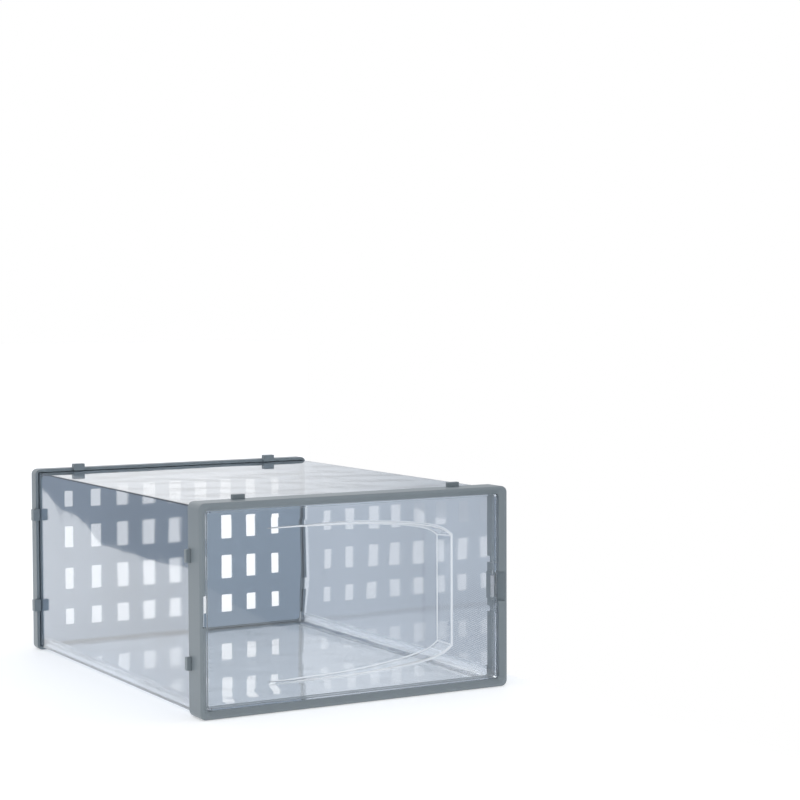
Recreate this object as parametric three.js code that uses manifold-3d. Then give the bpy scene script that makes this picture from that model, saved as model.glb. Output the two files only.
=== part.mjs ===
// A stackable clear shoe box: two moulded frames joined by four clear panels, a vented back plate,
// and a clear door hung on the left post of the front frame.
// Millimetres, +Z up, +Y from the front to the back, +X to the right.
// The origin is the middle of the front frame's underside, on the surface that the box stands on.

import * as THREE from 'three';
import { mergeVertices } from 'three/addons/utils/BufferGeometryUtils.js';
import Module from 'manifold-3d';

const wasm = await Module();
wasm.setup();

// ---- driving dimensions ----

// Over the two frames, without the stacking lugs.
const BOX = { width: 250, depth: 340, height: 150 };
const FRONT_FRAME_DEPTH = 20;
const REAR_FRAME_DEPTH = 11;
const FRONT_Y = -FRONT_FRAME_DEPTH / 2;
const BACK_Y = FRONT_Y + BOX.depth;

// One bar of a frame, measured inwards from its outer face.
const BAR = { thickness: 5.5, cornerRadius: 4.5, edgeRadius: 1.6, faceWidth: 2.3, seatDepth: 3.1 };

// The clear panels and the groove in each frame that takes their ends.
const PANEL = { thickness: 1.3, inset: 2.8, tongue: 5.7, flangeHeight: 8.2 };
const GROOVE = { outer: 2.4, inner: 4.4, frontDepth: 6, rearDepth: 5 };
const CLEARANCE = 0.3;

// The vented plate behind, held against a ledge in the rear frame.
const BACK_PLATE = { thickness: 2, gap: 0.3, cornerRadius: 3, ledgeWidth: 2.2, ledgeThickness: 1.5 };
const VENT = { columns: 9, pitch: 23.8, rowOffsets: [49.3, 17.4], cornerRadius: 1 };
const VENT_SIZE = { centreWidth: 11.6, edgeWidth: 7.8, innerHeight: 21.4, outerHeight: 16, edgeShrink: 0.83 };

// The door: a shallow tray, open to the back, that fills the front opening.
const DOOR = { thickness: 1.5, flange: 1.3, depth: 5.4, cornerRadius: 2.2, leftGap: 0.6, rightGap: 1.6 };
const DOOR_SETBACK = 3.4;
const DOOR_END_GAP = 0.6;
const NUB = { radius: 1.5, reach: 1.1, spacing: 37.4 };
const NUB_SLOT = { height: 4.6, depth: 5.5 };

// The finger scoop pressed into the door: a ramp that deepens to the right, up to an end wall.
// The mouth is given as half-heights about the door's middle, from left to right.
const SCOOP = { start: -72, end: 78, depth: 17.6, taper: 2.4, wall: 1.4, overrun: 8 };
const SCOOP_MOUTH = [[-80, 54], [-40, 54.2], [0, 54], [36, 51.5], [56, 49], [67, 46.5], [73, 44], [78, 40.5]];

// The door turns on two pins at its left edge.
const HINGE = { inset: 3.2, setback: 4.9, pinRadius: 1.1, pinLength: 2.6, pinRoot: 1, holeClearance: 0.25 };

// Finger notches in both front posts, and the magnetic latch at the same height.
const NOTCH = { height: 22, rampStart: 1.7, rampEnd: 4.5, depth: 7.6 };
const MAGNET = { height: 16, width: 1.8, depth: 4 };
const MAGNET_HOUSING = { height: 20, reach: 3.4, start: 9.4, end: 16, mouth: 1 };
const STRIKE = { height: 16, width: 3, thickness: 0.6 };

// Stacking lugs on the top and left, and the slots on the bottom and right that take a neighbour's.
const LUG = { width: 9.4, stand: 3.4, frontStart: 15.6, frontDepth: 4 };
const REAR_LUG = { overhang: 3.2, depth: 5.4, skirt: 2.2 };
const LUG_PEG = { width: 5.6, depth: 1.4, length: 1.7 };
const LUG_POCKET = { depth: 0.6, seat: 0.3 };
const SLOT = { width: 10.2, depth: 5.2, rearDepth: 6.4, floor: 2.6 };
const LUG_X = 87.8;
const LUG_Z = 37.5;

// ---- values worked out from them ----

const MID_Z = BOX.height / 2;
const OPENING = { width: BOX.width - 2 * BAR.thickness, height: BOX.height - 2 * BAR.thickness };
const REAR_FRAME_Y = BACK_Y - REAR_FRAME_DEPTH;
const PANEL_Y0 = FRONT_Y + FRONT_FRAME_DEPTH - PANEL.tongue;
const PANEL_Y1 = REAR_FRAME_Y + GROOVE.rearDepth - CLEARANCE;
const DOOR_Y = FRONT_Y + DOOR_SETBACK;
const DOOR_LEFT = -OPENING.width / 2 + DOOR.leftGap;
const DOOR_RIGHT = OPENING.width / 2 - DOOR.rightGap;
const DOOR_HALF_HEIGHT = OPENING.height / 2 - DOOR_END_GAP;
const HINGE_X = -OPENING.width / 2 + HINGE.inset;
const HINGE_Y = FRONT_Y + HINGE.setback;

const COLOURS = {
  frame: { color: 0x7d8889, roughness: 0.45, metalness: 0 },
  plate: { color: 0x84919b, roughness: 0.5, metalness: 0 },
  clear: { color: 0xdfe8f0, roughness: 0.08, metalness: 0, transparent: true, opacity: 0.4 },
  magnet: { color: 0x3a3c3f, roughness: 0.4, metalness: 0.8 },
  steel: { color: 0xb4b8bc, roughness: 0.3, metalness: 1 },
};

// ---- solids ----

function toSolid(geometry) {
  const bare = geometry.clone();
  bare.deleteAttribute('normal');
  bare.deleteAttribute('uv');
  const merged = mergeVertices(bare, 1e-4);
  const vertProperties = new Float32Array(merged.attributes.position.array);
  const triVerts = new Uint32Array(merged.index.array);
  return new wasm.Manifold(new wasm.Mesh({ numProp: 3, vertProperties, triVerts }));
}

function toGeometry(solid) {
  const mesh = solid.getMesh();
  const geometry = new THREE.BufferGeometry();
  geometry.setAttribute('position', new THREE.BufferAttribute(new Float32Array(mesh.vertProperties), 3));
  geometry.setIndex(new THREE.BufferAttribute(new Uint32Array(mesh.triVerts), 1));
  geometry.computeVertexNormals();
  return geometry;
}

function cut(solid, ...tools) {
  return tools.reduce((rest, tool) => rest.subtract(tool), solid);
}

function join(...solids) {
  return solids.reduce((whole, solid) => whole.add(solid));
}

// A box between two corners.
function block([x0, y0, z0], [x1, y1, z1]) {
  const geometry = new THREE.BoxGeometry(x1 - x0, y1 - y0, z1 - z0);
  geometry.translate((x0 + x1) / 2, (y0 + y1) / 2, (z0 + z1) / 2);
  return toSolid(geometry);
}

// A shape drawn in X and Z, run along Y from front to back.
function alongY(shape, front, back, bevel = {}) {
  const options = { depth: back - front, bevelEnabled: false, curveSegments: 3, ...bevel };
  const geometry = new THREE.ExtrudeGeometry(shape, options);
  geometry.rotateX(Math.PI / 2);
  geometry.translate(0, back, 0);
  return toSolid(geometry);
}

// A shape drawn in X and Y, run along Z from bottom to top.
function alongZ(shape, bottom, top) {
  const geometry = new THREE.ExtrudeGeometry(shape, { depth: top - bottom, bevelEnabled: false });
  geometry.translate(0, 0, bottom);
  return toSolid(geometry);
}

function roundedRectangle(width, height, radius, centreX = 0, centreZ = MID_Z) {
  const [x0, x1] = [centreX - width / 2, centreX + width / 2];
  const [z0, z1] = [centreZ - height / 2, centreZ + height / 2];
  const shape = new THREE.Shape();
  shape.moveTo(x0 + radius, z0);
  shape.lineTo(x1 - radius, z0);
  shape.absarc(x1 - radius, z0 + radius, radius, -Math.PI / 2, 0);
  shape.lineTo(x1, z1 - radius);
  shape.absarc(x1 - radius, z1 - radius, radius, 0, Math.PI / 2);
  shape.lineTo(x0 + radius, z1);
  shape.absarc(x0 + radius, z1 - radius, radius, Math.PI / 2, Math.PI);
  shape.lineTo(x0, z0 + radius);
  shape.absarc(x0 + radius, z0 + radius, radius, Math.PI, 1.5 * Math.PI);
  return shape;
}

// The box's outline drawn in by a distance.
function insetOutline(inset, radius) {
  return roundedRectangle(BOX.width - 2 * inset, BOX.height - 2 * inset, radius);
}

// ---- frames ----

// The outer block of a frame, with its show face's outer edge rounded. The show face is at y = faceY,
// and the block runs towards the middle of the box.
function frameBlock(faceY, depth, direction) {
  const bevel = {
    bevelEnabled: true,
    bevelThickness: BAR.edgeRadius,
    bevelSize: BAR.edgeRadius,
    bevelOffset: -BAR.edgeRadius,
    bevelSegments: 3,
  };
  const outline = insetOutline(0, BAR.cornerRadius);
  const [front, back] = [faceY, faceY + direction * 2 * depth].sort((a, b) => a - b);
  const long = alongY(outline, front + BAR.edgeRadius, back - BAR.edgeRadius, bevel);
  const [near, far] = [faceY - direction, faceY + direction * depth].sort((a, b) => a - b);
  return long.intersect(block([-BOX.width, near, -1], [BOX.width, far, BOX.height + 1]));
}

// The opening, with a sloped picture-frame mouth at the show face.
function frameOpening(faceY, depth, direction) {
  const through = insetOutline(BAR.thickness, DOOR.cornerRadius);
  const [near, far] = [faceY, faceY + direction * depth].sort((a, b) => a - b);
  const straight = alongY(through, near - 1, far + 1);
  const slope = BAR.thickness - BAR.faceWidth;
  const mouth = {
    bevelEnabled: true,
    bevelThickness: BAR.seatDepth,
    bevelSize: slope,
    bevelSegments: 1,
  };
  const start = faceY - direction * 10;
  const seat = faceY + direction * BAR.seatDepth;
  const [mouthFront, mouthBack] = [start, seat].sort((a, b) => a - b);
  const funnel = alongY(through, mouthFront + BAR.seatDepth, mouthBack - BAR.seatDepth, mouth);
  return join(straight, funnel);
}

// The ring-shaped groove that takes the ends of the four panels.
function panelGroove(openEnd, closedEnd) {
  const [front, back] = [openEnd, closedEnd].sort((a, b) => a - b);
  const outer = alongY(insetOutline(GROOVE.outer, 0.4), front, back);
  const inner = alongY(insetOutline(GROOVE.inner, 0.4), front - 1, back + 1);
  return outer.subtract(inner);
}

// Where the lugs and slots sit along the top, bottom and sides.
function edgeStations() {
  return [
    { side: 'top', name: 'top_left', x: -LUG_X, z: BOX.height },
    { side: 'top', name: 'top_right', x: LUG_X, z: BOX.height },
    { side: 'left', name: 'side_upper', x: -BOX.width / 2, z: MID_Z + LUG_Z },
    { side: 'left', name: 'side_lower', x: -BOX.width / 2, z: MID_Z - LUG_Z },
  ];
}

// A box of the given width along the edge, reaching from `outside` above the frame's outer face
// down to `inside` below it, at a lug station.
function edgeBlock(station, width, outside, inside, y0, y1) {
  const half = width / 2;
  if (station.side === 'top') {
    return block([station.x - half, y0, station.z - inside], [station.x + half, y1, station.z + outside]);
  }
  return block([station.x - outside, y0, station.z - half], [station.x + inside, y1, station.z + half]);
}

// The slots on the bottom and right take the lugs of the next box.
function receivingSlots(y0, y1) {
  return edgeStations().map((station) => {
    const half = SLOT.width / 2;
    if (station.side === 'top') {
      return block([station.x - half, y0, -1], [station.x + half, y1, SLOT.floor]);
    }
    const right = BOX.width / 2;
    return block([right - SLOT.floor, y0, station.z - half], [right + 1, y1, station.z + half]);
  });
}

// The sockets on the top and left that hold the lugs' own pegs.
function pegSockets(y0, y1) {
  const width = LUG_PEG.width + 2 * CLEARANCE;
  const depth = LUG_PEG.length + CLEARANCE;
  return edgeStations().map((station) => edgeBlock(station, width, 1, depth, y0 - CLEARANCE, y1 + CLEARANCE));
}

// Shallow pockets that the heads of the lugs stand in.
function lugPockets(y0, y1) {
  const width = LUG.width + 2 * CLEARANCE;
  return edgeStations().map((station) => edgeBlock(station, width, 1, LUG_POCKET.depth, y0, y1));
}

// Ramped finger recesses at mid-height, one in each front post, that leave the door's edge bare.
function fingerNotch(direction) {
  const outer = BOX.width / 2;
  const ramp = new THREE.Shape();
  ramp.moveTo(direction * (outer - NOTCH.rampStart), FRONT_Y - 1);
  ramp.lineTo(direction * (outer - NOTCH.rampStart), FRONT_Y);
  ramp.lineTo(direction * (outer - NOTCH.rampEnd), FRONT_Y + NOTCH.depth);
  ramp.lineTo(direction * (outer - BAR.thickness - 1), FRONT_Y + NOTCH.depth);
  ramp.lineTo(direction * (outer - BAR.thickness - 1), FRONT_Y - 1);
  return alongZ(ramp, MID_Z - NOTCH.height / 2, MID_Z + NOTCH.height / 2);
}

function hingeHole(top) {
  const radius = HINGE.pinRadius + HINGE.holeClearance;
  const depth = HINGE.pinLength - DOOR_END_GAP + CLEARANCE;
  const hole = new THREE.CylinderGeometry(radius, radius, depth + 1, 16);
  hole.rotateX(Math.PI / 2);
  const face = OPENING.height / 2;
  const middle = face + (depth - 1) / 2;
  hole.translate(HINGE_X, HINGE_Y, MID_Z + (top ? middle : -middle));
  return toSolid(hole);
}

// The box on the right post's inner wall that holds the latch magnet and stops the door.
function magnetHousing() {
  const inner = OPENING.width / 2;
  const half = MAGNET_HOUSING.height / 2;
  const y0 = FRONT_Y + MAGNET_HOUSING.start;
  const y1 = FRONT_Y + MAGNET_HOUSING.end;
  return block([inner - MAGNET_HOUSING.reach, y0, MID_Z - half], [inner + 1, y1, MID_Z + half]);
}

function magnetPocket() {
  const x1 = OPENING.width / 2 - (MAGNET_HOUSING.reach - MAGNET.width) / 2 + CLEARANCE;
  const x0 = x1 - MAGNET.width - 2 * CLEARANCE;
  const half = MAGNET.height / 2 + CLEARANCE;
  const y0 = FRONT_Y + MAGNET_HOUSING.start + MAGNET_HOUSING.mouth - CLEARANCE;
  return block([x0, y0, MID_Z - half], [x1, FRONT_Y + MAGNET_HOUSING.end + 1, MID_Z + half]);
}

// Short slots in the right post's inner wall, behind the door's nubs.
function nubSlots() {
  const inner = OPENING.width / 2;
  const back = FRONT_Y + FRONT_FRAME_DEPTH;
  return [-1, 1].map((sign) => {
    const z = MID_Z + sign * NUB.spacing / 2;
    const half = NUB_SLOT.height / 2;
    return block([inner - 1, back - NUB_SLOT.depth, z - half], [inner + 1.5, back + 1, z + half]);
  });
}

function frontFrame() {
  const backFace = FRONT_Y + FRONT_FRAME_DEPTH;
  const y0 = FRONT_Y + LUG.frontStart;
  const pegY = y0 + (LUG.frontDepth - LUG_PEG.depth) / 2;
  const slotY = y0 + (LUG.frontDepth - SLOT.depth) / 2;
  const ring = cut(
    frameBlock(FRONT_Y, FRONT_FRAME_DEPTH, 1),
    frameOpening(FRONT_Y, FRONT_FRAME_DEPTH, 1),
  );
  return cut(
    join(ring, magnetHousing()),
    panelGroove(backFace + 1, backFace - GROOVE.frontDepth),
    magnetPocket(),
    hingeHole(true),
    hingeHole(false),
    fingerNotch(1),
    fingerNotch(-1),
    ...nubSlots(),
    ...receivingSlots(slotY, slotY + SLOT.depth),
    ...pegSockets(pegY, pegY + LUG_PEG.depth),
    ...lugPockets(y0 - CLEARANCE, backFace + 1),
  );
}

function rearLugStart() {
  return REAR_FRAME_Y - REAR_LUG.overhang;
}

function rearPegStart() {
  return REAR_FRAME_Y + 0.5;
}

// The ledge that the back plate rests against.
function plateLedge() {
  const front = REAR_FRAME_Y + BACK_PLATE.thickness + 2 * BACK_PLATE.gap;
  const back = front + BACK_PLATE.ledgeThickness;
  const outer = alongY(insetOutline(BAR.thickness - 0.5, BACK_PLATE.cornerRadius), front, back);
  const hole = insetOutline(BAR.thickness + BACK_PLATE.ledgeWidth, 1);
  return outer.subtract(alongY(hole, front - 1, back + 1));
}

function rearFrame() {
  const pegY = rearPegStart();
  const slotY = rearLugStart() - (SLOT.rearDepth - REAR_LUG.depth) / 2;
  const ring = cut(
    frameBlock(BACK_Y, REAR_FRAME_DEPTH, -1),
    frameOpening(BACK_Y, REAR_FRAME_DEPTH, -1),
  );
  return cut(
    join(ring, plateLedge()),
    panelGroove(REAR_FRAME_Y - 1, REAR_FRAME_Y + GROOVE.rearDepth),
    ...receivingSlots(slotY, slotY + SLOT.rearDepth),
    ...pegSockets(REAR_FRAME_Y - 1, pegY + LUG_PEG.depth),
    ...lugPockets(REAR_FRAME_Y - 1, rearLugStart() + REAR_LUG.depth + CLEARANCE),
  );
}

// ---- back plate ----

// The vents are widest in the middle column and shrink towards the sides.
function ventHoles() {
  const holes = [];
  const outermost = (VENT.columns - 1) / 2;
  for (let column = -outermost; column <= outermost; column += 1) {
    const side = (column / outermost) ** 2;
    const width = THREE.MathUtils.lerp(VENT_SIZE.centreWidth, VENT_SIZE.edgeWidth, side);
    const shrink = THREE.MathUtils.lerp(1, VENT_SIZE.edgeShrink, side);
    for (const offset of VENT.rowOffsets) {
      const full = offset === VENT.rowOffsets[0] ? VENT_SIZE.outerHeight : VENT_SIZE.innerHeight;
      for (const sign of [-1, 1]) {
        const z = MID_Z + sign * offset;
        const outline = roundedRectangle(width, full * shrink, VENT.cornerRadius, column * VENT.pitch, z);
        const [front, back] = [REAR_FRAME_Y - 1, REAR_FRAME_Y + BACK_PLATE.thickness + 2];
        holes.push(alongY(outline, front, back, { curveSegments: 2 }));
      }
    }
  }
  return holes;
}

function backPlate() {
  const outline = insetOutline(BAR.thickness + BACK_PLATE.gap, BACK_PLATE.cornerRadius);
  const front = REAR_FRAME_Y + BACK_PLATE.gap;
  return cut(alongY(outline, front, front + BACK_PLATE.thickness), ...ventHoles());
}

// ---- clear panels ----

function sidePanel(direction) {
  const outer = BOX.width / 2 - PANEL.inset;
  const x = [direction * outer, direction * (outer - PANEL.thickness)].sort((a, b) => a - b);
  return block([x[0], PANEL_Y0, PANEL.inset], [x[1], PANEL_Y1, BOX.height - PANEL.inset]);
}

function levelPanel(z0) {
  const half = BOX.width / 2 - PANEL.inset - PANEL.thickness - CLEARANCE;
  return block([-half, PANEL_Y0, z0], [half, PANEL_Y1, z0 + PANEL.thickness]);
}

function topPanel() {
  return levelPanel(BOX.height - PANEL.inset - PANEL.thickness);
}

// The bottom panel turns up along both sides, inside the side panels.
function bottomPanel() {
  const half = BOX.width / 2 - PANEL.inset - PANEL.thickness - CLEARANCE;
  const y0 = FRONT_Y + FRONT_FRAME_DEPTH + CLEARANCE;
  const y1 = REAR_FRAME_Y - CLEARANCE;
  const z0 = PANEL.inset;
  const z1 = z0 + PANEL.thickness + PANEL.flangeHeight;
  const left = block([-half, y0, z0], [-half + PANEL.thickness, y1, z1]);
  const right = block([half - PANEL.thickness, y0, z0], [half, y1, z1]);
  return join(levelPanel(z0), left, right);
}

// ---- door ----

function scoopOutline() {
  const edge = new THREE.SplineCurve(SCOOP_MOUTH.map(([x, half]) => new THREE.Vector2(x, half)));
  const upper = edge.getPoints(21).map((point) => new THREE.Vector2(point.x, MID_Z + point.y));
  const lower = upper.map((point) => new THREE.Vector2(point.x, BOX.height - point.y));
  return new THREE.Shape([...upper, ...lower.reverse()]);
}

// The space inside the scoop, or with a wall round it, the body that the space is cut from.
function scoopBody(wall, front) {
  const tapered = alongY(scoopOutline(), DOOR_Y - 1, DOOR_Y, {
    bevelEnabled: true,
    bevelThickness: SCOOP.depth + SCOOP.overrun,
    bevelSize: SCOOP.taper,
    bevelOffset: wall - SCOOP.taper,
    bevelSegments: 1,
  });
  const rise = SCOOP.overrun * SCOOP.depth / (SCOOP.end - SCOOP.start);
  const floor = DOOR_Y + wall;
  const ramp = new THREE.Shape();
  ramp.moveTo(SCOOP.start - SCOOP.overrun, front);
  ramp.lineTo(SCOOP.end + SCOOP.overrun, front);
  ramp.lineTo(SCOOP.end + SCOOP.overrun, floor + SCOOP.depth + rise);
  ramp.lineTo(SCOOP.start - SCOOP.overrun, floor - rise);
  return tapered.intersect(alongZ(ramp, 0, BOX.height));
}

function snapNubs() {
  return [-1, 1].map((sign) => {
    const nub = new THREE.SphereGeometry(NUB.radius, 10, 8);
    nub.translate(DOOR_RIGHT + NUB.reach - NUB.radius, DOOR_Y + DOOR.depth / 2, MID_Z + sign * NUB.spacing / 2);
    return toSolid(nub);
  });
}

function door() {
  const width = DOOR_RIGHT - DOOR_LEFT;
  const centre = (DOOR_RIGHT + DOOR_LEFT) / 2;
  const height = 2 * DOOR_HALF_HEIGHT;
  const back = DOOR_Y + DOOR.depth;
  const rim = alongY(roundedRectangle(width, height, DOOR.cornerRadius, centre), DOOR_Y, back);
  const hollowOutline = roundedRectangle(width - 2 * DOOR.flange, height - 2 * DOOR.flange, 1, centre);
  const hollow = alongY(hollowOutline, DOOR_Y + DOOR.thickness, back + 1);
  const tray = cut(join(rim, ...snapNubs()), hollow, ...pinSeats());
  return join(tray, scoopBody(SCOOP.wall, DOOR_Y)).subtract(scoopBody(0, DOOR_Y - 1));
}

// A pin is a stub that stands in the door's end flange and turns in the frame's bar.
function pinGeometry(radius, clearance) {
  const length = HINGE.pinLength + HINGE.pinRoot + clearance;
  const pin = new THREE.CylinderGeometry(radius, radius, length, 16);
  pin.rotateX(Math.PI / 2);
  return { pin, length };
}

function placedPin(top, radius, clearance) {
  const { pin, length } = pinGeometry(radius, clearance);
  const end = DOOR_HALF_HEIGHT + HINGE.pinLength;
  const middle = end - length / 2;
  pin.translate(HINGE_X, HINGE_Y, MID_Z + (top ? middle : -middle));
  return toSolid(pin);
}

function hingePin(top) {
  return placedPin(top, HINGE.pinRadius, 0);
}

// Blind seats in the door's end flanges, a little larger than the pins.
function pinSeats() {
  return [true, false].map((top) => placedPin(top, HINGE.pinRadius + CLEARANCE / 2, CLEARANCE));
}

// The latch: a magnet in the right post, and a steel strip on the inside of the door that meets it.
function latchMagnet() {
  const x1 = OPENING.width / 2 - (MAGNET_HOUSING.reach - MAGNET.width) / 2;
  const y0 = FRONT_Y + MAGNET_HOUSING.start + MAGNET_HOUSING.mouth;
  const half = MAGNET.height / 2;
  return block([x1 - MAGNET.width, y0, MID_Z - half], [x1, y0 + MAGNET.depth, MID_Z + half]);
}

function latchStrike() {
  const x1 = DOOR_RIGHT - DOOR.flange - CLEARANCE;
  const y0 = DOOR_Y + DOOR.thickness + CLEARANCE;
  const half = STRIKE.height / 2;
  return block([x1 - STRIKE.width, y0, MID_Z - half], [x1, y0 + STRIKE.thickness, MID_Z + half]);
}

// ---- stacking lugs ----

function frontLug(station) {
  const y0 = FRONT_Y + LUG.frontStart;
  const pegY = y0 + (LUG.frontDepth - LUG_PEG.depth) / 2;
  const head = edgeBlock(station, LUG.width, LUG.stand, LUG_POCKET.seat, y0, y0 + LUG.frontDepth);
  const peg = edgeBlock(station, LUG_PEG.width, 1, LUG_PEG.length, pegY, pegY + LUG_PEG.depth);
  return head.add(peg);
}

// A rear lug reaches forward over the panel, with a skirt down to just above it.
function rearLug(station) {
  const y0 = rearLugStart();
  const pegY = rearPegStart();
  const head = edgeBlock(station, LUG.width, LUG.stand, LUG_POCKET.seat, y0, y0 + REAR_LUG.depth);
  const skirt = edgeBlock(station, LUG.width, 1, REAR_LUG.skirt, y0, REAR_FRAME_Y - CLEARANCE);
  const peg = edgeBlock(station, LUG_PEG.width, 1, LUG_PEG.length, pegY, pegY + LUG_PEG.depth);
  return join(head, skirt, peg);
}

// ---- the scene graph ----

const shoeBox = new THREE.Group();

function addPiece(name, solid, finish) {
  const mesh = new THREE.Mesh(toGeometry(solid), new THREE.MeshStandardMaterial(finish));
  mesh.name = name;
  shoeBox.add(mesh);
}

addPiece('front_frame', frontFrame(), COLOURS.frame);
addPiece('rear_frame', rearFrame(), COLOURS.frame);
addPiece('back_plate', backPlate(), COLOURS.plate);
addPiece('left_panel', sidePanel(-1), COLOURS.clear);
addPiece('right_panel', sidePanel(1), COLOURS.clear);
addPiece('top_panel', topPanel(), COLOURS.clear);
addPiece('bottom_panel', bottomPanel(), COLOURS.clear);
addPiece('door', door(), COLOURS.clear);
addPiece('hinge_pin_upper', hingePin(true), COLOURS.clear);
addPiece('hinge_pin_lower', hingePin(false), COLOURS.clear);
addPiece('latch_magnet', latchMagnet(), COLOURS.magnet);
addPiece('latch_strike', latchStrike(), COLOURS.steel);
for (const station of edgeStations()) {
  addPiece(`front_lug_${station.name}`, frontLug(station), COLOURS.frame);
  addPiece(`rear_lug_${station.name}`, rearLug(station), COLOURS.frame);
}

export default shoeBox;
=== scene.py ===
"""Looks of a clear stackable shoe box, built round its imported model."""

import math

import bmesh
import bpy
from bpy.props import FloatProperty, FloatVectorProperty, IntProperty, PointerProperty
from bpy.types import Operator, Panel, PropertyGroup
from mathutils import Matrix, Vector, noise


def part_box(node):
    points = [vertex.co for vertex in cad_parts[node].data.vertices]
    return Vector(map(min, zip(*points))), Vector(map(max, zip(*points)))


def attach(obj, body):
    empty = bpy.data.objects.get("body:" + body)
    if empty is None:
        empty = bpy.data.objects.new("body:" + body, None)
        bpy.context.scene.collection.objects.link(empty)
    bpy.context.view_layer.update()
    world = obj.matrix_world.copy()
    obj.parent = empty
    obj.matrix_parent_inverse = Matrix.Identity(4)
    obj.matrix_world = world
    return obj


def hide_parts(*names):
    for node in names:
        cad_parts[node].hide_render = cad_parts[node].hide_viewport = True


bl_info = {
    "name": "Clear stackable shoe box",
    "version": (1, 0, 0),
    "blender": (4, 5, 0),
    "location": "3D View > Sidebar > Shoe box",
    "description": "Builds the frames, clear panels, vented back and clear door of a stackable shoe box",
    "category": "Object",
}

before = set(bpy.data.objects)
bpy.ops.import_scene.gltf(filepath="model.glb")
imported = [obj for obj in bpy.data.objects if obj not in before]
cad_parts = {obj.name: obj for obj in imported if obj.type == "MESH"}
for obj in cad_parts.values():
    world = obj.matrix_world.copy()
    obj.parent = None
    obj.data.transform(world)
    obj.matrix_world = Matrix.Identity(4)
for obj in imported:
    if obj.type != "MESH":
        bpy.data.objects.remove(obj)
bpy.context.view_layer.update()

# Clear plastic: how strongly its body and glossy skin bend light, and how deep its ripples are.
SHEET_IOR = 1.3
SKIN_IOR = 1.85
SHEET_RIPPLE = 0.00025
DOOR_RIPPLE = 0.0002
PIN_RIPPLE = 0.0001
# The hatch's lines climb one unit for each 1 / HATCH_LEAN units along the panel.
HATCH_LEAN = 0.4
HATCH_DEPTH = 4e-6
# Sheets are cut at this step before they are waved, and the waves die away over the margin.
SHEET_STEP = 0.011
WAVE_MARGIN = 0.03
# Edges nearer than this to the middle of the door, across and up, belong to its scoop.
SCOOP_HALF_WIDTH = 0.085
SCOOP_HALF_HEIGHT = 0.058
MID_HEIGHT = 0.075
PIN_EDGE = 0.0003
METAL_EDGE = 0.00015
SHARP_ANGLE = math.radians(32)
LUG_STATIONS = ("top_left", "top_right", "side_upper", "side_lower")
LUG_NODES = [f"{end}_lug_{station}" for end in ("front", "rear") for station in LUG_STATIONS]


# ---- what a user would change ----


class ShoeBoxSizes(PropertyGroup):
    """Radii, pitches and waves of the moulded and sheet pieces."""

    frame_edge: FloatProperty(
        name="Frame edge radius",
        description="Radius on the crisp edges of both moulded frames",
        default=0.0006,
        min=0.0001,
        max=0.001,
        unit="LENGTH",
    )
    lug_edge: FloatProperty(
        name="Lug edge radius",
        description="Radius on the edges of the stacking lugs",
        default=0.00045,
        min=0.0001,
        max=0.0015,
        unit="LENGTH",
    )
    vent_edge: FloatProperty(
        name="Vent edge radius",
        description="Radius round the mouths of the vents",
        default=0.0003,
        min=0.0001,
        max=0.0008,
        unit="LENGTH",
    )
    door_edge: FloatProperty(
        name="Door edge radius",
        description="Radius on the rim of the door",
        default=0.0003,
        min=0.0001,
        max=0.001,
        unit="LENGTH",
    )
    scoop_edge: FloatProperty(
        name="Scoop edge radius",
        description="Radius on the mouth and the bottom of the finger scoop",
        default=0.0009,
        min=0.0001,
        max=0.002,
        unit="LENGTH",
    )
    sheet_wave: FloatProperty(
        name="Sheet waviness",
        description="How far the clear sheets wander from flat",
        default=0.00018,
        min=0.0,
        max=0.0005,
        unit="LENGTH",
    )
    wave_length: FloatProperty(
        name="Wave length",
        description="Distance between the waves in the clear sheets",
        default=0.085,
        min=0.02,
        max=0.3,
        unit="LENGTH",
    )
    hatch_pitch: FloatProperty(
        name="Hatch pitch",
        description="Spacing of the crossed lines embossed in the side panels, measured up the panel",
        default=0.0016,
        min=0.0005,
        max=0.005,
        unit="LENGTH",
    )
    edge_segments: IntProperty(
        name="Edge segments",
        description="Facets across each rounded edge",
        default=3,
        min=1,
        max=6,
    )


def colour_choice(name, description, default):
    return FloatVectorProperty(
        name=name, description=description, default=default, size=3, min=0.0, max=1.0, subtype="COLOR"
    )


class ShoeBoxColours(PropertyGroup):
    """Colours of the plastics and the metals."""

    frame_plastic: colour_choice("Frame plastic", "Satin grey of frames and lugs", (0.195, 0.228, 0.247))
    plate_plastic: colour_choice("Back plate plastic", "Blue grey of the vented plate", (0.31, 0.372, 0.435))
    side_tint: colour_choice("Side panel tint", "Light that a side panel passes", (0.80, 0.84, 0.89))
    level_tint: colour_choice("Top and bottom tint", "Light that a level panel passes", (0.925, 0.94, 0.955))
    door_tint: colour_choice("Door tint", "Light that the door passes", (0.945, 0.957, 0.97))
    # Painted highlight: a whiter, half-clear plastic on the door's rounded rim and scoop edges, standing in
    # for the bright lines that light reflects there
    door_lip_painted_highlight: colour_choice("Door lip painted highlight", "Bright edge of the door's rim and scoop", (0.94, 0.965, 0.99))
    magnet_plate: colour_choice("Magnet", "Dark plated face of the latch magnet", (0.05, 0.052, 0.057))
    steel: colour_choice("Steel strip", "Bright strip that the magnet holds", (0.55, 0.56, 0.58))
    floor: colour_choice("Floor", "Plain pale floor", (0.86, 0.86, 0.86))


# ---- node helpers ----


def feed(tree, socket, value):
    """Links a socket to another node's output, or sets its value."""
    if isinstance(value, bpy.types.NodeSocket):
        tree.links.new(value, socket)
    else:
        socket.default_value = value


def put(tree, kind, values=None):
    """A new node with its inputs set to values or linked to other nodes' outputs."""
    made = tree.nodes.new(kind)
    for key, value in (values or {}).items():
        feed(tree, made.inputs[key], value)
    return made


def calculate(tree, operation, *values):
    made = tree.nodes.new("ShaderNodeMath")
    made.operation = operation
    for socket, value in zip(made.inputs, values):
        feed(tree, socket, value)
    return made.outputs[0]


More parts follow.
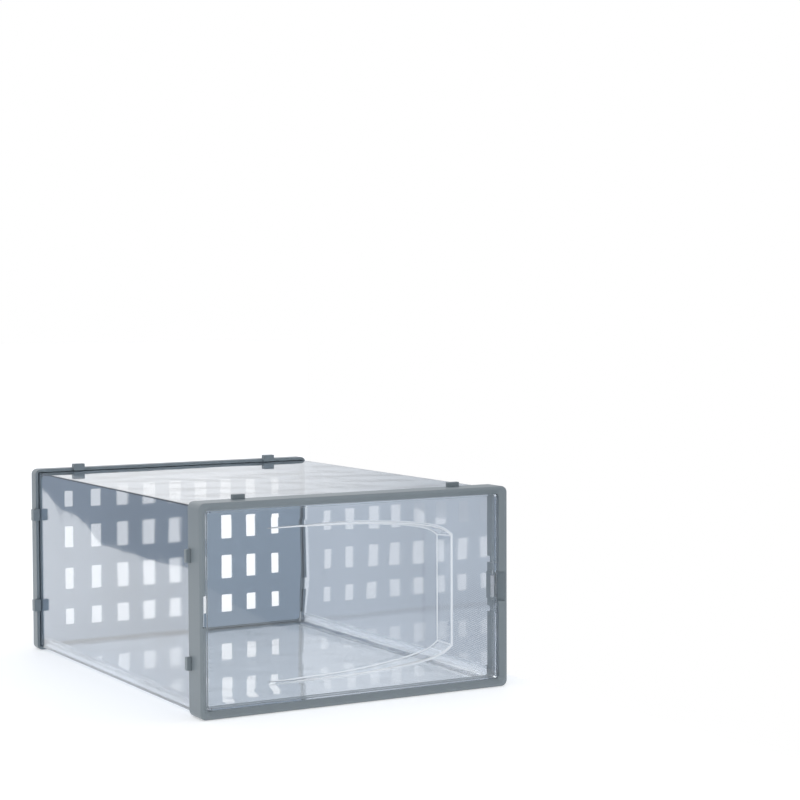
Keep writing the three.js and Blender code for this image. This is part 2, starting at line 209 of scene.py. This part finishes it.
def remap(tree, value, low, high, to_low, to_high):
    made = put(
        tree,
        "ShaderNodeMapRange",
        {"Value": value, "From Min": low, "From Max": high, "To Min": to_low, "To Max": to_high},
    )
    return made.outputs["Result"]


def blend(tree, factor, first, second):
    """A colour between two others, each given as a value or as a node's output."""
    made = tree.nodes.new("ShaderNodeMix")
    made.data_type = "RGBA"
    tree.links.new(factor, made.inputs["Factor"])
    for key, colour in (("A", first), ("B", second)):
        given = isinstance(colour, bpy.types.NodeSocket)
        feed(tree, made.inputs[key], colour if given else (*colour, 1.0))
    return made.outputs["Result"]


def noise_in(tree, vector, scale, detail):
    made = put(tree, "ShaderNodeTexNoise", {"Vector": vector, "Scale": scale, "Detail": detail})
    return made.outputs["Fac"]


def scaled(colour, factor):
    return tuple(min(1.0, channel * factor) for channel in colour)


def new_group(name, inputs, outputs):
    """An empty shader node group. Returns the tree, its input node and its output node."""
    tree = bpy.data.node_groups.new(name, "ShaderNodeTree")
    for label, kind, default in inputs:
        socket = tree.interface.new_socket(name=label, in_out="INPUT", socket_type=kind)
        if default is not None:
            socket.default_value = default
    for label, kind in outputs:
        tree.interface.new_socket(name=label, in_out="OUTPUT", socket_type=kind)
    return tree, tree.nodes.new("NodeGroupInput"), tree.nodes.new("NodeGroupOutput")


def use_group(tree, group, values):
    made = tree.nodes.new("ShaderNodeGroup")
    made.node_tree = group
    for key, value in values.items():
        feed(tree, made.inputs[key], value)
    return made


def moulded_grain_group():
    """Fine mould texture over slow drifts of tone, for the opaque plastics."""
    tree, given, made = new_group(
        "moulded_grain",
        [
            ("Vector", "NodeSocketVector", None),
            ("Grain Scale", "NodeSocketFloat", 1400.0),
            ("Drift Scale", "NodeSocketFloat", 18.0),
        ],
        [("Tone", "NodeSocketFloat"), ("Roughness", "NodeSocketFloat"), ("Height", "NodeSocketFloat")],
    )
    vector = given.outputs["Vector"]
    grain = noise_in(tree, vector, given.outputs["Grain Scale"], 3.0)
    drift = noise_in(tree, vector, given.outputs["Drift Scale"], 2.0)
    speck = calculate(tree, "MULTIPLY", grain, 0.35)
    tone = calculate(tree, "ADD", calculate(tree, "MULTIPLY", drift, 0.65), speck)
    tree.links.new(tone, made.inputs["Tone"])
    tree.links.new(remap(tree, tone, 0.3, 0.7, 0.28, 0.42), made.inputs["Roughness"])
    tree.links.new(grain, made.inputs["Height"])
    return tree


def rub_marks_group():
    """Faint rubs and dust on glossy plastic: a mask that is nought over most of the surface."""
    tree, given, made = new_group(
        "rub_marks",
        [("Vector", "NodeSocketVector", None), ("Scale", "NodeSocketFloat", 60.0)],
        [("Mask", "NodeSocketFloat")],
    )
    vector = given.outputs["Vector"]
    turned = {"Vector": vector, "Rotation": (0.5, 0.4, 0.6), "Scale": (1.0, 14.0, 1.0)}
    drawn_out = put(tree, "ShaderNodeMapping", turned).outputs["Vector"]
    rubs = noise_in(tree, drawn_out, given.outputs["Scale"], 5.0)
    patches = noise_in(tree, vector, 22.0, 2.0)
    lines = remap(tree, rubs, 0.56, 0.74, 0.0, 1.0)
    mask = calculate(tree, "MULTIPLY", lines, remap(tree, patches, 0.42, 0.62, 0.0, 1.0))
    tree.links.new(mask, made.inputs["Mask"])
    return tree


def sheet_wave_group():
    """Slow ripples left by pressing a clear sheet."""
    tree, given, made = new_group(
        "sheet_wave",
        [("Vector", "NodeSocketVector", None), ("Scale", "NodeSocketFloat", 26.0)],
        [("Height", "NodeSocketFloat")],
    )
    slow = noise_in(tree, given.outputs["Vector"], given.outputs["Scale"], 1.0)
    tree.links.new(slow, made.inputs["Height"])
    return tree


def cross_hatch_group():
    """Two crossed sets of fine slanting lines over the Y and Z directions, strongest near the front."""
    tree, given, made = new_group(
        "cross_hatch",
        [("Vector", "NodeSocketVector", None), ("Pitch", "NodeSocketFloat", 0.0016)],
        [("Mask", "NodeSocketFloat")],
    )
    parts = put(tree, "ShaderNodeSeparateXYZ", {"Vector": given.outputs["Vector"]})
    turn = calculate(tree, "DIVIDE", math.pi, given.outputs["Pitch"])
    along = calculate(tree, "MULTIPLY", parts.outputs["Y"], HATCH_LEAN)
    lines = []
    for operation in ("ADD", "SUBTRACT"):
        slant = calculate(tree, operation, along, parts.outputs["Z"])
        wave = calculate(tree, "SINE", calculate(tree, "MULTIPLY", slant, turn))
        lines.append(calculate(tree, "ABSOLUTE", wave))
    bumps = calculate(tree, "MULTIPLY", *lines)
    near_front = remap(tree, parts.outputs["Y"], 0.0, 0.24, 1.0, 0.15)
    patches = noise_in(tree, given.outputs["Vector"], 9.0, 1.0)
    strength = calculate(tree, "MULTIPLY", near_front, remap(tree, patches, 0.3, 0.6, 0.4, 1.0))
    tree.links.new(calculate(tree, "MULTIPLY", bumps, strength), made.inputs["Mask"])
    return tree


def shared_group(name):
    makers = {
        "moulded_grain": moulded_grain_group,
        "rub_marks": rub_marks_group,
        "sheet_wave": sheet_wave_group,
        "cross_hatch": cross_hatch_group,
    }
    return bpy.data.node_groups.get(name) or makers[name]()


# ---- materials ----


def new_material(name):
    """A material with an output, and the Object coordinates that its patterns read."""
    material = bpy.data.materials.new(name)
    material.use_nodes = True
    tree = material.node_tree
    tree.nodes.clear()
    place = tree.nodes.new("ShaderNodeTexCoord").outputs["Object"]
    return material, tree, place, tree.nodes.new("ShaderNodeOutputMaterial")


def moulded_plastic(name, colour, contrast, drift_scale):
    """Opaque satin plastic with mould grain, slow drifts of tone and faint rubs."""
    if name in bpy.data.materials:
        return bpy.data.materials[name]
    material, tree, place, output = new_material(name)
    grain = use_group(tree, shared_group("moulded_grain"), {"Vector": place, "Drift Scale": drift_scale})
    rubs = use_group(tree, shared_group("rub_marks"), {"Vector": place, "Scale": 90.0})
    tone = remap(tree, grain.outputs["Tone"], 0.3, 0.7, 0.0, 1.0)
    base = blend(tree, tone, scaled(colour, 1 - contrast), scaled(colour, 1 + contrast))
    rubbed = calculate(tree, "MULTIPLY", rubs.outputs["Mask"], 0.25)
    roughened = calculate(tree, "MULTIPLY", rubs.outputs["Mask"], 0.1)
    grained = {"Height": grain.outputs["Height"], "Strength": 0.25, "Distance": 0.00005}
    relief = put(tree, "ShaderNodeBump", grained)
    shader = put(
        tree,
        "ShaderNodeBsdfPrincipled",
        {
            "Base Color": blend(tree, rubbed, base, scaled(colour, 1.5)),
            "Roughness": calculate(tree, "ADD", grain.outputs["Roughness"], roughened),
            "Normal": relief.outputs["Normal"],
            "IOR": 1.5,
            "Specular IOR Level": 0.5,
        },
    )
    tree.links.new(shader.outputs["BSDF"], output.inputs["Surface"])
    return material


def clear_plastic(name, tint, wave, hatch=None, passes=1.0, gloss=0.0, roughness=0.02):
    """Clear sheet that lets lamps through, with ripples `wave` deep and embossed lines `hatch` apart.

    `passes` is the share of the light that goes through it, and `gloss` the strength of its shiny skin.
    """
    if name in bpy.data.materials:
        return bpy.data.materials[name]
    material, tree, place, output = new_material(name)
    ripples = use_group(tree, shared_group("sheet_wave"), {"Vector": place})
    rubs = use_group(tree, shared_group("rub_marks"), {"Vector": place, "Scale": 55.0})
    waved = {"Height": ripples.outputs["Height"], "Strength": 1.0, "Distance": wave}
    relief = put(tree, "ShaderNodeBump", waved)
    haze = calculate(tree, "MULTIPLY", rubs.outputs["Mask"], 0.1)
    if hatch:
        lattice = use_group(tree, shared_group("cross_hatch"), {"Vector": place, "Pitch": hatch})
        embossed = {"Height": lattice.outputs["Mask"], "Strength": 1.0, "Distance": HATCH_DEPTH}
        relief = put(tree, "ShaderNodeBump", {**embossed, "Normal": relief.outputs["Normal"]})
        haze = calculate(tree, "MAXIMUM", haze, lattice.outputs["Mask"])
    shader = put(
        tree,
        "ShaderNodeBsdfPrincipled",
        {
            "Base Color": blend(tree, haze, tint, scaled(tint, 0.45)),
            "Roughness": remap(tree, haze, 0.0, 1.0, roughness, roughness + 0.02),
            "Normal": relief.outputs["Normal"],
            "IOR": SHEET_IOR,
            "Transmission Weight": passes,
            "Specular IOR Level": 0.5,
            "Coat Weight": gloss,
            "Coat Roughness": 0.02,
            "Coat IOR": SKIN_IOR,
        },
    )
    path = tree.nodes.new("ShaderNodeLightPath")
    through = put(tree, "ShaderNodeBsdfTransparent", {"Color": (*tint, 1.0)})
    lamps = calculate(tree, "MAXIMUM", path.outputs["Is Shadow Ray"], path.outputs["Is Diffuse Ray"])
    mixed = tree.nodes.new("ShaderNodeMixShader")
    tree.links.new(lamps, mixed.inputs[0])
    tree.links.new(shader.outputs["BSDF"], mixed.inputs[1])
    tree.links.new(through.outputs["BSDF"], mixed.inputs[2])
    tree.links.new(mixed.outputs["Shader"], output.inputs["Surface"])
    return material


def bare_metal(name, colour, roughness):
    """Plated or rolled metal with fine lines along its length."""
    if name in bpy.data.materials:
        return bpy.data.materials[name]
    material, tree, place, output = new_material(name)
    drawn = put(tree, "ShaderNodeMapping", {"Vector": place, "Scale": (3000.0, 3000.0, 90.0)})
    lines = noise_in(tree, drawn.outputs["Vector"], 1.0, 3.0)
    relief = put(tree, "ShaderNodeBump", {"Height": lines, "Strength": 0.3, "Distance": 0.00003})
    shader = put(
        tree,
        "ShaderNodeBsdfPrincipled",
        {
            "Base Color": blend(tree, lines, scaled(colour, 0.85), scaled(colour, 1.15)),
            "Roughness": remap(tree, lines, 0.3, 0.7, roughness - 0.06, roughness + 0.08),
            "Metallic": 1.0,
            "Normal": relief.outputs["Normal"],
        },
    )
    tree.links.new(shader.outputs["BSDF"], output.inputs["Surface"])
    return material


def frame_plastic():
    colour = bpy.context.scene.shoe_box_colours.frame_plastic
    return moulded_plastic("satin_frame_moulding", colour, 0.05, 14.0)


# ---- mesh helpers ----


def clean_copy(node):
    """A bmesh copy of a node's mesh with its triangles merged into whole faces."""
    bm = bmesh.new()
    bm.from_mesh(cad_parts[node].data)
    bmesh.ops.remove_doubles(bm, verts=bm.verts, dist=1e-6)
    bmesh.ops.dissolve_limit(
        bm, angle_limit=math.radians(0.5), verts=bm.verts, edges=bm.edges, use_dissolve_boundaries=False
    )
    bm.normal_update()
    return bm


def crisp_edges(bm, wanted=lambda edge: True, least=40.0):
    """The edges that turn by more than `least` degrees and that `wanted` picks."""
    limit = math.radians(least)
    return [e for e in bm.edges if len(e.link_faces) == 2 and e.calc_face_angle(0.0) > limit and wanted(e)]


def round_edges(bm, edges, radius, segments, material_index=0):
    """Rounds the edges, and gives the new faces a material of their own if asked."""
    rounded = bmesh.ops.bevel(
        bm,
        geom=edges,
        offset=radius,
        offset_type="OFFSET",
        segments=segments,
        profile=0.5,
        affect="EDGES",
        clamp_overlap=True,
        material=-1,
    )
    for face in rounded["faces"]:
        face.material_index = material_index


def edge_middle(edge):
    return (edge.verts[0].co + edge.verts[1].co) / 2


def settle(bm, name, materials, node_names, body):
    """Makes the finished piece: a smooth-shaded object at the origin that stands for its nodes."""
    mesh = bpy.data.meshes.new(name)
    bm.to_mesh(mesh)
    bm.free()
    for material in materials:
        mesh.materials.append(material)
    mesh.shade_smooth()
    mesh.set_sharp_from_angle(angle=SHARP_ANGLE)
    piece = bpy.data.objects.new(name, mesh)
    bpy.context.scene.collection.objects.link(piece)
    weighted = piece.modifiers.new("Even shading", "WEIGHTED_NORMAL")
    weighted.keep_sharp = True
    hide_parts(*node_names)
    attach(piece, body)
    return piece


def slice_through(bm, axis, low, high, step):
    """Cuts every face across an axis at even steps."""
    normal = Vector((0.0, 0.0, 0.0))
    normal[axis] = 1.0
    count = max(1, round((high - low) / step))
    for index in range(1, count):
        point = normal * (low + (high - low) * index / count)
        geometry = [*bm.verts, *bm.edges, *bm.faces]
        bmesh.ops.bisect_plane(bm, geom=geometry, dist=1e-7, plane_co=point, plane_no=normal)


def ripple(bm, node, axis, depth, length, seed):
    """Moves a sheet's vertices along `axis` in slow waves that die away at its edges."""
    low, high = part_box(node)
    across = [a for a in range(3) if a != axis]
    for vertex in bm.verts:
        place = vertex.co.copy()
        place[axis] = seed
        height = noise.noise(place / length) + 0.4 * noise.noise(place * 2.3 / length)
        fade = 1.0
        for a in across:
            inside = min(vertex.co[a] - low[a], high[a] - vertex.co[a])
            fade *= min(1.0, max(0.0, inside / WAVE_MARGIN))
        vertex.co[axis] += depth * height * fade


# ---- pieces ----


class SHOEBOX_OT_frames(Operator):
    """Makes the front and rear frames with softened edges in satin plastic"""

    bl_idname = "shoe_box.frames"
    bl_label = "Frames"

    def execute(self, context):
        sizes = context.scene.shoe_box_sizes
        for node in ("front_frame", "rear_frame"):
            bm = clean_copy(node)
            round_edges(bm, crisp_edges(bm), sizes.frame_edge, sizes.edge_segments)
            settle(bm, f"{node}_moulding", [frame_plastic()], [node], "box")
        return {"FINISHED"}


class SHOEBOX_OT_lugs(Operator):
    """Makes the eight stacking lugs with rounded edges"""

    bl_idname = "shoe_box.lugs"
    bl_label = "Stacking lugs"

    def execute(self, context):
        sizes = context.scene.shoe_box_sizes
        for node in LUG_NODES:
            bm = clean_copy(node)
            round_edges(bm, crisp_edges(bm), sizes.lug_edge, sizes.edge_segments)
            settle(bm, f"{node}_block", [frame_plastic()], [node], "box")
        return {"FINISHED"}


class SHOEBOX_OT_back_plate(Operator):
    """Makes the vented back plate with eased vents"""

    bl_idname = "shoe_box.back_plate"
    bl_label = "Back plate"

    def execute(self, context):
        sizes = context.scene.shoe_box_sizes
        colour = context.scene.shoe_box_colours.plate_plastic
        bm = clean_copy("back_plate")
        round_edges(bm, crisp_edges(bm, least=80.0), sizes.vent_edge, sizes.edge_segments)
        material = moulded_plastic("satin_plate_moulding", colour, 0.06, 9.0)
        settle(bm, "vented_back_plate", [material], ["back_plate"], "box")
        return {"FINISHED"}


class SHOEBOX_OT_panels(Operator):
    """Makes the four clear panels, slightly wavy as pressed sheet is"""

    bl_idname = "shoe_box.panels"
    bl_label = "Clear panels"

    def execute(self, context):
        sizes = context.scene.shoe_box_sizes
        colours = context.scene.shoe_box_colours
        pitch = sizes.hatch_pitch
        side = clear_plastic("clear_side_sheet", colours.side_tint, SHEET_RIPPLE, hatch=pitch, gloss=1.0)
        level = clear_plastic("clear_level_sheet", colours.level_tint, SHEET_RIPPLE, gloss=0.5)
        rows = [
            ("left_panel", "clear_left_sheet", side, 0, 3.1),
            ("right_panel", "clear_right_sheet", side, 0, 7.7),
            ("top_panel", "clear_top_sheet", level, 2, 5.2),
            ("bottom_panel", "clear_bottom_sheet", level, 2, 9.4),
        ]
        for node, name, material, axis, seed in rows:
            bm = clean_copy(node)
            low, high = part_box(node)
            for across in (a for a in range(3) if a != axis):
                slice_through(bm, across, low[across], high[across], SHEET_STEP)
            ripple(bm, node, axis, sizes.sheet_wave, sizes.wave_length, seed)
            settle(bm, name, [material], [node], "box")
        return {"FINISHED"}


class SHOEBOX_OT_door(Operator):
    """Makes the clear door with rounded edges round its rim and finger scoop, their faces in a whiter,
    half-clear plastic as a painted highlight
    """

    bl_idname = "shoe_box.door"
    bl_label = "Door"

    def execute(self, context):
        sizes = context.scene.shoe_box_sizes
        bm = clean_copy("door")

        def in_scoop(edge):
            middle = edge_middle(edge)
            beside = abs(middle.x) < SCOOP_HALF_WIDTH
            return beside and abs(middle.z - MID_HEIGHT) < SCOOP_HALF_HEIGHT

        round_edges(bm, crisp_edges(bm, in_scoop, least=20.0), sizes.scoop_edge, sizes.edge_segments + 1, 1)
        rim = crisp_edges(bm, lambda edge: not in_scoop(edge), least=50.0)
        round_edges(bm, rim, sizes.door_edge, sizes.edge_segments, 1)
        colours = context.scene.shoe_box_colours
        clear = clear_plastic("door_moulding", colours.door_tint, DOOR_RIPPLE, gloss=0.3)
        # Material 1 on the rounded edges is a painted highlight: whiter, rougher plastic that lets less than
        # half the light through, so the edges read as bright lines
        highlight_paint = clear_plastic("door_lip_moulding", colours.door_lip_painted_highlight, DOOR_RIPPLE, passes=0.45, roughness=0.25)
        settle(bm, "clear_door", [clear, highlight_paint], ["door"], "door")
        return {"FINISHED"}


class SHOEBOX_OT_hinge_pins(Operator):
    """Makes the two clear pins that the door turns on"""

    bl_idname = "shoe_box.hinge_pins"
    bl_label = "Hinge pins"

    def execute(self, context):
        material = clear_plastic("pin_moulding", context.scene.shoe_box_colours.door_tint, PIN_RIPPLE)
        for end in ("upper", "lower"):
            node = f"hinge_pin_{end}"
            low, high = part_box(node)
            centre = (low + high) / 2
            bm = bmesh.new()
            radius = (high.x - low.x) / 2
            bmesh.ops.create_cone(
                bm,
                cap_ends=True,
                segments=32,
                radius1=radius,
                radius2=radius,
                depth=high.z - low.z,
                matrix=Matrix.Translation(centre),
            )
            round_edges(bm, crisp_edges(bm, least=60.0), PIN_EDGE, 3)
            settle(bm, f"door_pin_{end}", [material], [node], "door")
        return {"FINISHED"}


class SHOEBOX_OT_latch(Operator):
    """Makes the latch magnet and the steel strip that it holds"""

    bl_idname = "shoe_box.latch"
    bl_label = "Magnetic latch"

    def execute(self, context):
        colours = context.scene.shoe_box_colours
        plating = bare_metal("magnet_plating", colours.magnet_plate, 0.3)
        rolled = bare_metal("rolled_steel", colours.steel, 0.28)
        rows = [
            ("latch_magnet", "plated_magnet", plating, "box", "magnet"),
            ("latch_strike", "steel_strip", rolled, "door", "steel"),
        ]
        for node, name, material, body, slot in rows:
            low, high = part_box(node)
            bm = bmesh.new()
            size = Matrix.Diagonal((*(high - low), 1.0))
            bmesh.ops.create_cube(bm, size=1.0, matrix=Matrix.Translation((low + high) / 2) @ size)
            round_edges(bm, list(bm.edges), METAL_EDGE, 2)
            settle(bm, name, [material], [node], body)
        return {"FINISHED"}


# ---- stage ----


WHITE = (1.0, 1.0, 1.0)
# Colours of the studio round the box.
STUDIO = {
    "walls": (0.93, 0.95, 0.98),
    "right": (0.50, 0.54, 0.59),
    "low_right": (0.68, 0.72, 0.78),
    "dark": (0.30, 0.33, 0.38),
    "soft_light": (0.74, 0.76, 0.79),
}
# Soft lamps: name, place, point that each faces, width, height, power and colour.
LAMPS = (
    ("key", (-1.3, -1.5, 1.9), (0.0, 0.15, 0.05), 1.2, 1.2, 4.4, WHITE),
    ("fill", (1.9, -0.9, 1.3), (0.0, 0.15, 0.05), 1.4, 1.4, 3.0, (0.97, 0.985, 1.0)),
    ("rim", (-0.3, 2.2, 1.6), (0.0, 0.2, 0.1), 2.0, 1.0, 3.5, WHITE),
)
# The floor stops short behind the box on its left and on its right, where the studio is darker.
# Each gap in it lies on the outward side of all its edges, given as a point and a direction.
FLOOR_GAPS = (
    (
        ((-0.43, 0.66, 0.0), (0.0, 1.0, 0.0)),
        ((-0.43, 0.93, 0.0), (-1.0, 0.0, 0.0)),
        ((-0.423, 0.93, 0.0), (-0.969, -0.245, 0.0)),
    ),
    (((0.15, 0.0, 0.0), (1.0, 0.0, 0.0)), ((-0.683, -1.257, 0.0), (0.8894, -0.4571, 0.0))),
)
FLOOR_SIZE = 12.0
FLOOR_DROP = -0.0002
# The camera stands in front on the left. Its turn is given as yaw, pitch and roll in degrees.
CAMERA_PLACE = (-0.6830, -1.2572, 0.2875)
CAMERA_TURN = (29.863, -2.825, -0.211)
SENSOR_WIDTH = 36.0
LENS = 89.9928


def add_light(name, place, target, width, height, power, colour):
    data = bpy.data.lights.new(name, "AREA")
    data.shape = "RECTANGLE"
    data.size = width
    data.size_y = height
    data.energy = power
    data.color = colour
    light = bpy.data.objects.new(name, data)
    bpy.context.scene.collection.objects.link(light)
    light.location = place
    light.rotation_euler = (Vector(target) - Vector(place)).to_track_quat("-Z", "Y").to_euler()


def studio_world():
    """Plain white behind the object, and a soft grey studio, darker on the right, in what it reflects."""
    world = bpy.data.worlds.new("studio")
    world.use_nodes = True
    tree = world.node_tree
    tree.nodes.clear()
    direction = tree.nodes.new("ShaderNodeTexCoord").outputs["Generated"]
    parts = put(tree, "ShaderNodeSeparateXYZ", {"Vector": direction})
    forward = calculate(tree, "MAXIMUM", parts.outputs["Y"], 0.01)
    bearing = calculate(tree, "DIVIDE", parts.outputs["X"], forward)
    rightward = remap(tree, bearing, 0.46, 0.62, 0.0, 1.0)
    low_down = remap(tree, parts.outputs["Z"], 0.15, 0.4, 1.0, 0.0)
    behind_right = calculate(tree, "MULTIPLY", rightward, low_down)
    sky = blend(tree, behind_right, STUDIO["walls"], STUDIO["right"])
    to_right = remap(tree, parts.outputs["X"], -0.05, 0.05, 0.0, 1.0)
    below = blend(tree, to_right, STUDIO["dark"], STUDIO["low_right"])
    around = blend(tree, remap(tree, parts.outputs["Z"], -0.02, 0.0, 0.0, 1.0), below, sky)
    path = tree.nodes.new("ShaderNodeLightPath")
    lit = blend(tree, path.outputs["Is Diffuse Ray"], around, STUDIO["soft_light"])
    colour = blend(tree, path.outputs["Is Camera Ray"], lit, WHITE)
    back = put(tree, "ShaderNodeBackground", {"Color": colour, "Strength": 1.0})
    output = tree.nodes.new("ShaderNodeOutputWorld")
    tree.links.new(back.outputs["Background"], output.inputs["Surface"])
    return world


def pale_floor(colour):
    bm = bmesh.new()
    bmesh.ops.create_grid(bm, x_segments=2, y_segments=2, size=FLOOR_SIZE)
    for gap in FLOOR_GAPS:
        edges = [(Vector(point), Vector(normal)) for point, normal in gap]
        for point, normal in edges:
            everything = [*bm.verts, *bm.edges, *bm.faces]
            bmesh.ops.bisect_plane(bm, geom=everything, plane_co=point, plane_no=normal)
        beyond = [f for f in bm.faces if all((f.calc_center_median() - p).dot(n) > 0 for p, n in edges)]
        bmesh.ops.delete(bm, geom=beyond, context="FACES")
    mesh = bpy.data.meshes.new("floor")
    bm.to_mesh(mesh)
    bm.free()
    floor = bpy.data.objects.new("floor", mesh)
    bpy.context.scene.collection.objects.link(floor)
    floor.location = (0.0, 0.0, FLOOR_DROP)
    material, tree, place, output = new_material("plain_floor")
    tone = noise_in(tree, place, 3.0, 2.0)
    shader = put(
        tree,
        "ShaderNodeBsdfPrincipled",
        {
            "Base Color": blend(tree, tone, scaled(colour, 0.99), scaled(colour, 1.01)),
            "Roughness": 0.7,
            "Specular IOR Level": 0.2,
            "Emission Color": (1.0, 1.0, 1.0, 1.0),
            "Emission Strength": 0.36,
        },
    )
    tree.links.new(shader.outputs["BSDF"], output.inputs["Surface"])
    mesh.materials.append(material)


def set_camera():
    """The camera stands in front on the left, a little above the box, and looks slightly down."""
    data = bpy.data.cameras.new("camera")
    data.sensor_fit = "HORIZONTAL"
    data.sensor_width = SENSOR_WIDTH
    data.lens = LENS
    data.clip_start = 0.05
    data.clip_end = 60.0
    camera = bpy.data.objects.new("camera", data)
    bpy.context.scene.collection.objects.link(camera)
    yaw, pitch, roll = (math.radians(angle) for angle in CAMERA_TURN)
    forward = Vector((math.sin(yaw) * math.cos(pitch), math.cos(yaw) * math.cos(pitch), math.sin(pitch)))
    level = Vector((math.cos(yaw), -math.sin(yaw), 0.0))
    upright = level.cross(forward)
    right = level * math.cos(roll) + upright * math.sin(roll)
    up = right.cross(forward)
    turn = Matrix((right, up, -forward)).transposed()
    camera.location = CAMERA_PLACE
    camera.rotation_euler = turn.to_euler()
    bpy.context.scene.camera = camera


class SHOEBOX_OT_stage(Operator):
    """Sets the pale floor, the soft studio lights and the camera"""

    bl_idname = "shoe_box.stage"
    bl_label = "Stage"

    def execute(self, context):
        scene = context.scene
        scene.world = studio_world()
        scene.view_settings.view_transform = "Standard"
        pale_floor(scene.shoe_box_colours.floor)
        for lamp in LAMPS:
            add_light(*lamp)
        set_camera()
        return {"FINISHED"}


# ---- the add-on ----


class SHOEBOX_PT_sidebar(Panel):
    """Lists the steps that build the shoe box"""

    bl_idname = "SHOEBOX_PT_sidebar"
    bl_label = "Shoe box"
    bl_space_type = "VIEW_3D"
    bl_region_type = "UI"
    bl_category = "Shoe box"

    def draw(self, context):
        layout = self.layout
        for group in (context.scene.shoe_box_sizes, context.scene.shoe_box_colours):
            box = layout.box()
            for name in group.__annotations__:
                box.prop(group, name)
        for step in STEPS:
            layout.operator(step.bl_idname)


STEPS = (
    SHOEBOX_OT_frames,
    SHOEBOX_OT_lugs,
    SHOEBOX_OT_back_plate,
    SHOEBOX_OT_panels,
    SHOEBOX_OT_door,
    SHOEBOX_OT_hinge_pins,
    SHOEBOX_OT_latch,
    SHOEBOX_OT_stage,
)
CLASSES = (ShoeBoxSizes, ShoeBoxColours, *STEPS, SHOEBOX_PT_sidebar)


def register():
    for cls in CLASSES:
        bpy.utils.register_class(cls)
    bpy.types.Scene.shoe_box_sizes = PointerProperty(type=ShoeBoxSizes)
    bpy.types.Scene.shoe_box_colours = PointerProperty(type=ShoeBoxColours)


def unregister():
    del bpy.types.Scene.shoe_box_colours
    del bpy.types.Scene.shoe_box_sizes
    for cls in reversed(CLASSES):
        bpy.utils.unregister_class(cls)


def main():
    register()
    for step in STEPS:
        group, name = step.bl_idname.split(".")
        getattr(getattr(bpy.ops, group), name)()


if __name__ == "__main__":
    main()
